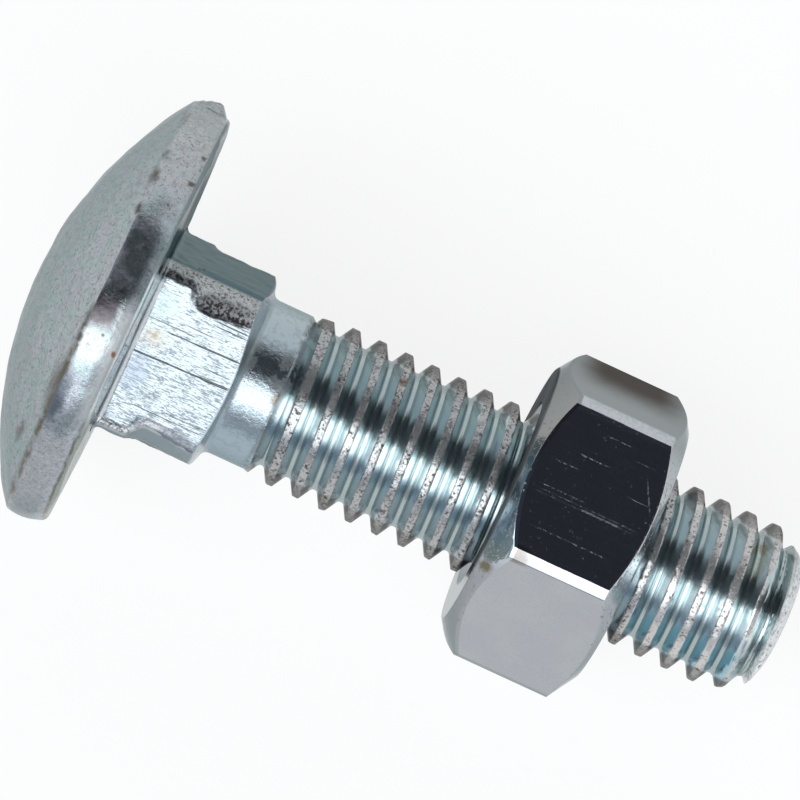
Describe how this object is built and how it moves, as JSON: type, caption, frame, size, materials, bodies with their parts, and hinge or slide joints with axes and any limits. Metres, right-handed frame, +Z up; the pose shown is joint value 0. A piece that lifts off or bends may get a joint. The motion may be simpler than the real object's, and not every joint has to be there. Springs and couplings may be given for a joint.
{
  "type": "carriage bolt with hex nut",
  "caption": "Zinc-plated carriage bolt with a domed head and a square neck, and a hexagon nut on its right-hand thread, lying at rest.",
  "frame": {"origin": "centre of the bearing face under the head, on the axis of the shank", "axes": "+Z up as the bolt lies at rest on a flat surface, +X from the head towards the tip, along the floor; the bolt's own axis dips 7.97 degrees below +X towards the tip"},
  "size_m": [0.0355, 0.0194, 0.0193],
  "materials": {
    "bolt_zinc": "bright blue-passivated zinc plating, worn and lightly marked",
    "nut_zinc": "bright zinc plating, satin flats with fine scratches"
  },
  "bodies": {
    "bolt": {"carriage_bolt": "bolt_zinc"},
    "nut": {"hex_nut": "nut_zinc"}
  },
  "joints": [
    {"name": "nut_travel", "type": "slide", "parent": "bolt", "child": "nut", "axis": [0.9903, 0, -0.1387], "range_m": [-0.00875, 0.01375]}
  ]
}
